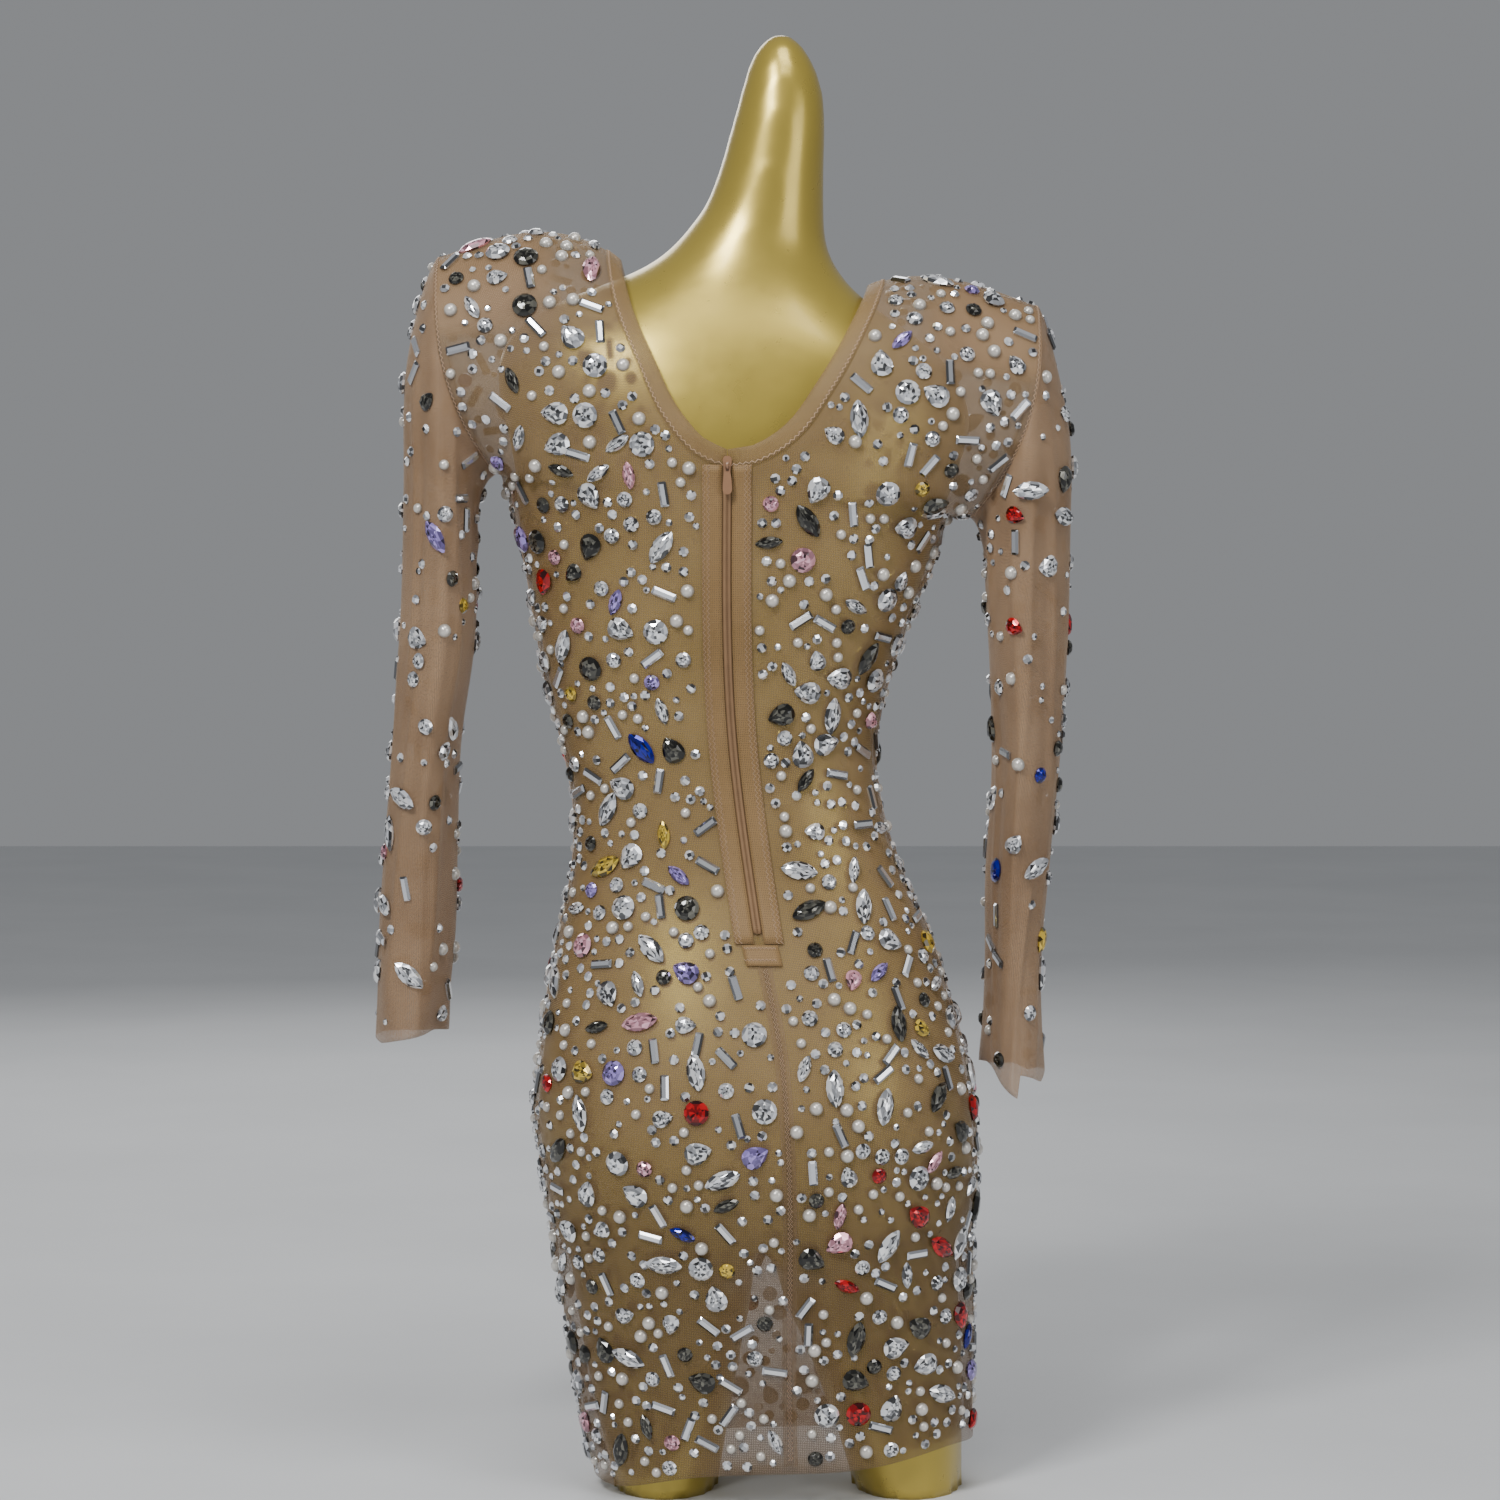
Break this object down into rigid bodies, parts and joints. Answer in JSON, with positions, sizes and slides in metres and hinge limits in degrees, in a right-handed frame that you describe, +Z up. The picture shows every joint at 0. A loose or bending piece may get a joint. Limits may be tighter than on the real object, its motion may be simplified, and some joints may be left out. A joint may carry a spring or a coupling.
{
  "type": "embellished mesh bodycon dress on a dress form",
  "caption": "Sheer long-sleeved mesh bodycon mini dress set with crystals and pearls, zipped at the back, on a limbless gold dress form.",
  "frame": {"origin": "on the standing face's level, under the middle of the bounding box", "axes": "+Z up along the form; +Y to the dress's back, where the zip is; +X to the dress's own left"},
  "size_m": [0.4963, 0.2429, 1.034],
  "materials": {
    "form_paint": "glossy gold paint on a smooth moulded shell",
    "mesh_cloth": "sheer tan power mesh with a fine honeycomb knit",
    "doubled_cloth": "the same mesh folded double",
    "pad_foam": "tan covered foam",
    "zip_tape": "matt woven tape and nylon coil",
    "zip_metal": "tan enamel",
    "thread": "tan overlock and zigzag thread",
    "crystal": "foil-backed cut crystal",
    "dark_crystal": "smoky foil-backed cut crystal",
    "coloured_crystal": "red, blue, yellow and pink cut crystal",
    "pearl": "cream pearl lustre"
  },
  "bodies": {
    "dress": {"dress_form": "form_paint", "back_left": "mesh_cloth", "back_right": "mesh_cloth", "front": "mesh_cloth", "sleeve_left": "mesh_cloth", "sleeve_right": "mesh_cloth", "shoulder_pad_left": "pad_foam", "shoulder_pad_right": "pad_foam", "neck_band_left": "doubled_cloth", "neck_band_right": "doubled_cloth", "neck_band_front_left": "doubled_cloth", "neck_band_front_right": "doubled_cloth", "zip_facing_left": "doubled_cloth", "zip_facing_right": "doubled_cloth", "zip_coil": "zip_tape", "zip_end_patch": "doubled_cloth", "zip_slider": "zip_metal"},
    "pull_tab": {"zip_pull": "zip_metal"}
  },
  "joints": [
    {"name": "pull_swing", "type": "hinge", "parent": "dress", "child": "pull_tab", "pos_m": [-0.0044, 0.096, 0.726], "axis": [1, 0, 0], "range_deg": [0, 150]}
  ]
}
